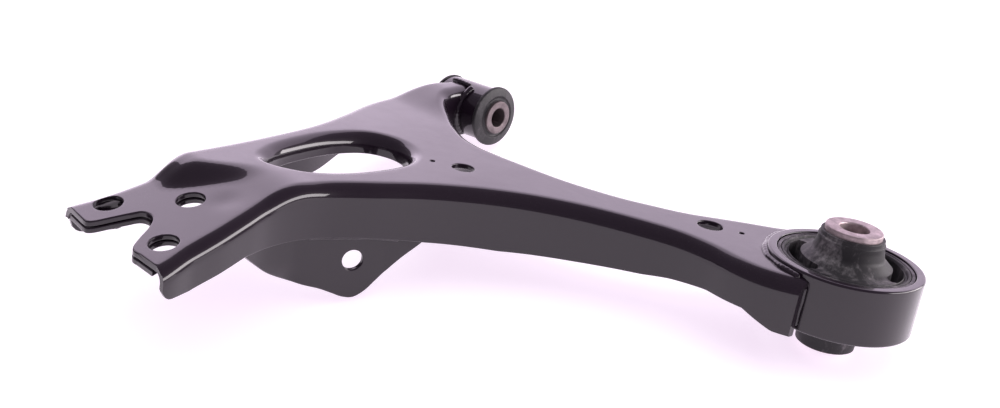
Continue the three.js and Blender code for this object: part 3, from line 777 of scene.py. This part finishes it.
def scaled(color, factor):  # the same hue, lighter or darker, never above white
    return tuple(min(1, c * factor) for c in color[:3]) + (1,)


def makeOrangePeel():  # height = fine noise plus a share of long, slow waves in the film
    group, given, out = nodeGroup(
        "orangePeel", [("Vector", "NodeSocketVector", None), ("Fine Scale", "NodeSocketFloat", 420.0),
                       ("Wave Scale", "NodeSocketFloat", 60.0), ("Wave Share", "NodeSocketFloat", 0.5)],
        [("Height", "NodeSocketFloat")])
    fine = noise(group, given.outputs["Vector"], given.outputs["Fine Scale"], 2.0)
    wave = noise(group, given.outputs["Vector"], given.outputs["Wave Scale"], 1.0)
    total = maths(group, "ADD", fine, maths(group, "MULTIPLY", wave, given.outputs["Wave Share"]))
    group.links.new(total, out.inputs["Height"])
    return group


def makeDust():  # specks from a cell pattern, thinned by patchy noise and gathered on upward faces
    group, given, out = nodeGroup(
        "settledDust", [("Vector", "NodeSocketVector", None), ("Amount", "NodeSocketFloat", 0.3),
                        ("Speck Scale", "NodeSocketFloat", 900.0), ("Patch Scale", "NodeSocketFloat", 14.0)],
        [("Mask", "NodeSocketFloat"), ("Film", "NodeSocketFloat")])
    where = given.outputs["Vector"]
    cells = put(group, "ShaderNodeTexVoronoi", [("Vector", where), ("Scale", given.outputs["Speck Scale"])])
    specks = ramp(group, cells.outputs["Distance"], 1.0, 0.0, 0.05, 0.22)
    patch = ramp(group, noise(group, where, given.outputs["Patch Scale"], 5.0, 0.6), 0.0, 1.0, 0.42, 0.72)
    surface = put(group, "ShaderNodeNewGeometry")
    facing = put(group, "ShaderNodeSeparateXYZ", [("Vector", surface.outputs["Normal"])])
    upward = ramp(group, facing.outputs["Z"], 0.15, 1.0, 0.0, 0.9)
    film = maths(group, "MULTIPLY", maths(group, "MULTIPLY", patch, upward), given.outputs["Amount"])
    group.links.new(maths(group, "MULTIPLY", specks, film), out.inputs["Mask"])
    group.links.new(film, out.inputs["Film"])
    return group


def makePaintedHighlight():  # painted highlight: convex edges (pointiness above the middle), broken by noise, mark where the colour is lightened to stand in for light caught on the edges
    group, given, out = nodeGroup(
        "paintedEdgeHighlight", [("Vector", "NodeSocketVector", None), ("Amount", "NodeSocketFloat", 0.5),
                        ("Break Scale", "NodeSocketFloat", 160.0)], [("Mask", "NodeSocketFloat")])
    sharp = ramp(group, put(group, "ShaderNodeNewGeometry").outputs["Pointiness"], 0.0, 1.0, 0.54, 0.66)
    patchy = noise(group, given.outputs["Vector"], given.outputs["Break Scale"], 4.0, 0.65)
    broken = ramp(group, patchy, 0.0, 1.0, 0.4, 0.7)
    mask = maths(group, "MULTIPLY", maths(group, "MULTIPLY", sharp, broken), given.outputs["Amount"])
    group.links.new(mask, out.inputs["Mask"])
    return group


def makeLatheMarks():  # rings about local Z and round the axis: a sine of the radius plus fine noise
    group, given, out = nodeGroup(
        "latheMarks", [("Vector", "NodeSocketVector", None), ("Ring Scale", "NodeSocketFloat", 900.0)],
        [("Height", "NodeSocketFloat"), ("Mottle", "NodeSocketFloat")])
    where = given.outputs["Vector"]
    rings = put(group, "ShaderNodeTexWave", [("Vector", where), ("Scale", given.outputs["Ring Scale"])],
                wave_type="RINGS", rings_direction="Z", in_Distortion=1.2, in_Detail=2.0)
    grit = maths(group, "MULTIPLY", noise(group, where, 1500.0, 2.0), 0.6)
    group.links.new(maths(group, "ADD", rings.outputs["Fac"], grit), out.inputs["Height"])
    group.links.new(noise(group, where, 170.0, 6.0, 0.65), out.inputs["Mottle"])
    return group


groups = {"peel": makeOrangePeel(), "dust": makeDust(), "paintedHighlight": makePaintedHighlight(), "lathe": makeLatheMarks()}


def startFinish(name):
    material = bpy.data.materials.new(name)
    material.use_nodes = True
    tree = material.node_tree
    place = put(tree, "ShaderNodeTexCoord").outputs["Object"]
    return material, tree, tree.nodes["Principled BSDF"], place


def use(tree, group, place, **values):
    node = tree.nodes.new("ShaderNodeGroup")
    node.node_tree = groups[group]
    tree.links.new(place, node.inputs["Vector"])
    for label, value in values.items():
        node.inputs[label.replace("_", " ")].default_value = value
    return node.outputs


# the second colour is the painted highlight laid on convex edges
glossPaint = {
    "color": (0.0095, 0.0052, 0.0100, 1), "highlightColor": (0.05, 0.042, 0.05, 1), "dust": (0.35, 0.32, 0.35, 1),
    "rough": 0.30, "roughSwing": 0.08, "coatRough": 0.05, "peel": 0.000010, "dustAmount": 0.25,
}


def makePaint(name, values, peelScale=420.0, waveShare=0.6):
    material, tree, shader, place = startFinish(name)
    dust = use(tree, "dust", place, Amount=values["dustAmount"])
    paintedHighlight = use(tree, "paintedHighlight", place, Amount=0.6)
    tone = noise(tree, place, 9.0, 4.0)
    base = blendColors(tree, ramp(tree, tone, 0.0, 0.35), values["color"], scaled(values["color"], 1.6))
    # painted highlight: convex edges are lightened towards the highlight colour, standing in for light
    # caught on the rounded edges
    base = blendColors(tree, paintedHighlight["Mask"], base, values["highlightColor"])
    base = blendColors(tree, maths(tree, "MULTIPLY", dust["Mask"], 0.5), base, values["dust"])
    tree.links.new(base, shader.inputs["Base Color"])
    low, high = values["rough"], values["rough"] + values["roughSwing"]
    rough = ramp(tree, noise(tree, place, 38.0, 5.0, 0.6), low, high, 0.3, 0.7)
    film = maths(tree, "MULTIPLY", dust["Film"], 0.25)
    tree.links.new(maths(tree, "ADD", rough, film), shader.inputs["Roughness"])
    peel = use(tree, "peel", place, Fine_Scale=peelScale, Wave_Share=waveShare)
    normal = bump(tree, peel["Height"], values["peel"])
    tree.links.new(normal, shader.inputs["Normal"])
    shader.inputs["Coat Weight"].default_value = 1.0
    shader.inputs["Coat Roughness"].default_value = values["coatRough"]
    shader.inputs["Specular IOR Level"].default_value = 0.12
    return material


weldPaint = dict(glossPaint, rough=0.26, peel=0.00003, dustAmount=0.5)
mouldRubber = {
    "color": (0.017, 0.016, 0.018, 1), "talc": (0.34, 0.31, 0.33, 1),
    "rough": 0.55, "grain": 0.00005, "talcAmount": 0.95,
}


def makeRubber(name, values, talcScale=70.0):
    material, tree, shader, place = startFinish(name)
    smear = put(tree, "ShaderNodeMapping", [("Vector", place)], in_Scale=(1.0, 1.0, 0.45))
    patches = noise(tree, smear.outputs[0], talcScale, 7.0, 0.68)
    patches = ramp(tree, patches, 0.0, values["talcAmount"], 0.50, 0.78)
    fine = ramp(tree, noise(tree, place, talcScale * 9, 3.0), 0.35, 1.0, 0.35, 0.65)
    talc = maths(tree, "MULTIPLY", patches, fine)
    paintedHighlight = use(tree, "paintedHighlight", place, Amount=0.35, Break_Scale=240.0)
    base = blendColors(tree, talc, values["color"], values["talc"])
    # painted highlight: the rubber's convex edges are lightened to half the talc colour, standing in for
    # light caught on them
    base = blendColors(tree, paintedHighlight["Mask"], base, scaled(values["talc"], 0.5))
    tree.links.new(base, shader.inputs["Base Color"])
    tree.links.new(ramp(tree, talc, values["rough"], 0.92), shader.inputs["Roughness"])
    coarse = maths(tree, "MULTIPLY", noise(tree, place, 130.0, 2.0), 0.8)
    grain = maths(tree, "ADD", noise(tree, place, 900.0, 3.0), coarse)
    tree.links.new(bump(tree, grain, values["grain"]), shader.inputs["Normal"])
    shader.inputs["Specular IOR Level"].default_value = 0.45
    return material


phosphate = {
    "color": (0.62, 0.52, 0.53, 1), "dark": (0.36, 0.30, 0.305, 1), "rough": 0.45, "marks": 0.000014,
    "metal": 0.85,
}
frontPhosphate = dict(phosphate, color=(0.24, 0.20, 0.205, 1), dark=(0.14, 0.115, 0.12, 1))
zincShell = {
    "color": (0.10, 0.095, 0.10, 1), "dark": (0.035, 0.032, 0.035, 1), "rough": 0.34, "marks": 0.000012,
    "metal": 0.8,
}


def makeTurned(name, values, centre=(0, 0, 0), turn=(0, 0, 0), rings=700.0):
    material, tree, shader, place = startFinish(name)
    local = put(tree, "ShaderNodeMapping", [("Vector", place)], vector_type="TEXTURE",
                in_Location=centre, in_Rotation=turn)
    marks = use(tree, "lathe", local.outputs[0], Ring_Scale=rings)
    paintedHighlight = use(tree, "paintedHighlight", place, Amount=0.7, Break_Scale=300.0)
    mottle = ramp(tree, marks["Mottle"], 0.0, 1.0, 0.35, 0.7)
    base = blendColors(tree, mottle, values["dark"], values["color"])
    # painted highlight: convex edges of the steel are brightened to 1.9 times its colour, standing in for
    # glints on the edges
    base = blendColors(tree, paintedHighlight["Mask"], base, scaled(values["color"], 1.9))
    tree.links.new(base, shader.inputs["Base Color"])
    rough = ramp(tree, marks["Mottle"], values["rough"] + 0.16, values["rough"], 0.3, 0.7)
    tree.links.new(rough, shader.inputs["Roughness"])
    tree.links.new(bump(tree, marks["Height"], values["marks"]), shader.inputs["Normal"])
    shader.inputs["Metallic"].default_value = values["metal"]
    return material


def makeFloorFinish(color):
    material, tree, shader, place = startFinish("studioPaper")
    tone = ramp(tree, noise(tree, place, 3.0, 3.0), 0.0, 1.0)
    base = blendColors(tree, tone, color, scaled(color, 0.985))
    tree.links.new(base, shader.inputs["Base Color"])
    shader.inputs["Roughness"].default_value = 0.9
    shader.inputs["Specular IOR Level"].default_value = 0.15
    shader.inputs["Emission Color"].default_value = studio["floorGlow"]
    shader.inputs["Emission Strength"].default_value = studio["floorGlowPower"]
    return material


# assembly


def settle(piece, node, body, slot, material):
    piece.data.materials.clear()
    piece.data.materials.append(material)
    if slot == "black_paint":
        evenNormals(piece)
    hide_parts(node)
    if body:
        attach(piece, body)


paintFinish = makePaint("glossBlackDip", glossPaint)
beadFinish = makePaint("glossBlackWeld", weldPaint, 520.0, 0.9)
rubberFinish = makeRubber("mouldedRubber", mouldRubber)
frontRubberFinish = makeRubber("bondedRubber", dict(mouldRubber, talcAmount=0.3, rough=0.5), 110.0)
axisTurn = Matrix(frontPlace[:3, :3].tolist()).to_euler()
frontCentre = tuple(c * metre for c in frontBush["centre"])
rearSteel = makeTurned("turnedSleeve", phosphate)
frontSteel = makeTurned("turnedFrontSleeve", frontPhosphate, frontCentre, axisTurn)
shellSteel = makeTurned("plainShell", zincShell)
frontShellSteel = makeTurned("plainFrontShell", zincShell, frontCentre, axisTurn)

settle(makeArmShell(), "arm_shell", "arm", "black_paint", paintFinish)
print("arm shell")
settle(makeBacking(), "fork_backing_plate", "arm", "black_paint", paintFinish)
settle(makeBracket(), "link_bracket", "arm", "black_paint", paintFinish)
settle(makeWeldNut(), "ball_joint_weld_nut", "arm", "black_paint", paintFinish)
print("fork and bracket")
ring, shell, rubber, sleeve = makeRearBush()
settle(ring, "rear_bush_housing", "arm", "black_paint", paintFinish)
settle(shell, "rear_bush_outer_sleeve", "arm", "bush_steel", shellSteel)
settle(sleeve, "rear_bush_inner_sleeve", "rear_sleeve", "bush_steel", rearSteel)
settle(rubber, "rear_bush_rubber", None, "rubber", rubberFinish)
tube, frontShell, frontRubber, frontSleeve = makeFrontBush()
settle(tube, "front_bush_housing", "arm", "black_paint", paintFinish)
settle(frontShell, "front_bush_outer_sleeve", "arm", "bush_steel", frontShellSteel)
settle(frontSleeve, "front_bush_inner_sleeve", "front_sleeve", "bush_steel", frontSteel)
settle(frontRubber, "front_bush_rubber", None, "rubber", frontRubberFinish)
print("bushes")
for node, bead in makeWelds().items():
    settle(bead, node, "arm", "weld_paint", beadFinish)
print("welds")


def bondRubber(piece, place, inner, outer):
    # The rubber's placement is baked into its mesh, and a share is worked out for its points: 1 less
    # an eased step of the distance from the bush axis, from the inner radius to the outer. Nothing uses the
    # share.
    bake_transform(piece)
    points = np.zeros(len(piece.data.vertices) * 3, np.float32)
    piece.data.vertices.foreach_get("co", points)
    local = (points.reshape(-1, 3) / metre - place[:3, 3]) @ place[:3, :3]
    share = 1 - smoothStep(inner, outer, np.hypot(local[:, 0], local[:, 1]))


rearBond = rearBush["sleeveRadius"] + rearBush["bondFrom"]
bondRubber(rubber, np.eye(4), rearBond, rearBush["bondTo"])
frontBond = frontBush["sleeveRadius"] + frontBush["bondFrom"]
bondRubber(frontRubber, frontPlace, frontBond, frontBush["bondTo"])

# studio

studio = {
    "floorColor": (0.46, 0.48, 0.45, 1), "floorGlow": (0.98, 0.84, 1.0, 1), "floorGlowPower": 0.86,
    "floorSize": 5.0, "floorGap": 0.0004, "floorShift": (0.15, 0.1),
    "world": (0.95, 0.80, 1.0, 1), "worldPower": 0.22,
    "lens": 52.2, "sensor": 36.0, "cameraAt": (-0.3634, 0.6522, 0.2680),
    "rightward": (-0.6727, -0.7206, 0.1679),
    "downward": (-0.3558, 0.1161, -0.9273), "forward": (0.6487, -0.6836, -0.3345),
    "feet": ((0.0, 0.0, -0.0335), (0.178, 0.181, -0.0535), (0.2955, 0.0015, -0.0178)),
    "middle": (0.17, 0.13, 0.0),
}
panels = [
    {"name": "backPanel", "at": (1.23, -0.99, 0.82), "size": (3.2, 1.7), "power": 37,
     "color": (0.96, 0.80, 1.0), "fade": (0.57, 1.05, 0.5, 0.85)},
    {"name": "topFill", "at": (0.0, 0.45, 1.9), "size": (2.4, 2.4), "power": 34, "color": (1, 1, 1),
     "mirrored": False},
    {"name": "rightPanel", "at": (-0.78, -0.92, 0.50), "size": (1.7, 0.46), "power": 20,
     "color": (1.0, 0.93, 0.96)},
]


def makeFloor():  # a square on the plane through the three places the arm stands on
    a, b, c = (np.array(p) for p in studio["feet"])
    up = np.cross(b - a, c - a)
    up /= np.linalg.norm(up) * np.sign(up[2])
    lowered = min(0.0, *[float((np.array(p.co) - a) @ up) for p in sleeve.data.vertices])
    side = np.cross([0, 1.0, 0], up)
    side /= np.linalg.norm(side)
    other = np.cross(up, side)
    shift = studio["floorShift"]
    centre = a + (lowered - studio["floorGap"]) * up + shift[0] * side + shift[1] * other
    u, v = np.meshgrid(np.linspace(-1, 1, 9), np.linspace(-1, 1, 9), indexing="ij")
    half = studio["floorSize"] / 2
    points = centre + half * (u[..., None] * side + v[..., None] * other)
    floor = makeMesh("floor", points.reshape(-1, 3) / metre, [gridFaces(9, 9)])
    floor.data.materials.append(makeFloorFinish(studio["floorColor"]))


def makePanel(name, at, size, power, color, mirrored=True, fade=None):
    light = bpy.data.lights.new(name, "AREA")
    light.shape, light.size, light.size_y = "RECTANGLE", *size
    light.energy, light.color = power, color
    lamp = bpy.data.objects.new(name, light)
    z = np.array(at) - np.array(studio["middle"])
    z = z / np.linalg.norm(z)
    x = np.cross([0, 0, 1.0], z)
    x = x / np.linalg.norm(x)
    place = np.eye(4)
    place[:3, 0], place[:3, 1], place[:3, 2], place[:3, 3] = x, np.cross(z, x), z, at
    lamp.matrix_world = Matrix(place.tolist())
    lamp.visible_glossy = mirrored
    if fade:  # brightness across the panel: low and high strength, and the shares they are met at
        light.use_nodes = True
        tree = light.node_tree
        surface = put(tree, "ShaderNodeNewGeometry")
        across = put(tree, "ShaderNodeSeparateXYZ", [("Vector", surface.outputs["Parametric"])])
        strength = ramp(tree, across.outputs["X"], *fade)
        tree.links.new(strength, tree.nodes["Emission"].inputs["Strength"])
    bpy.context.scene.collection.objects.link(lamp)


def makeCamera():
    camera = bpy.data.objects.new("camera", bpy.data.cameras.new("camera"))
    camera.data.lens, camera.data.sensor_width = studio["lens"], studio["sensor"]
    place = np.eye(4)
    place[:3, 0], place[:3, 1] = studio["rightward"], -np.array(studio["downward"])
    place[:3, 2], place[:3, 3] = -np.array(studio["forward"]), studio["cameraAt"]
    camera.matrix_world = Matrix(place.tolist())
    bpy.context.scene.collection.objects.link(camera)
    bpy.context.scene.camera = camera


makeFloor()
makeCamera()
world = bpy.data.worlds.new("studio")
world.use_nodes = True
sky = world.node_tree.nodes["Background"]
sky.inputs["Color"].default_value = studio["world"]
sky.inputs["Strength"].default_value = studio["worldPower"]
bpy.context.scene.world = world
for values in panels:
    makePanel(**values)
bpy.context.scene.view_settings.view_transform = "Standard"
print("studio")
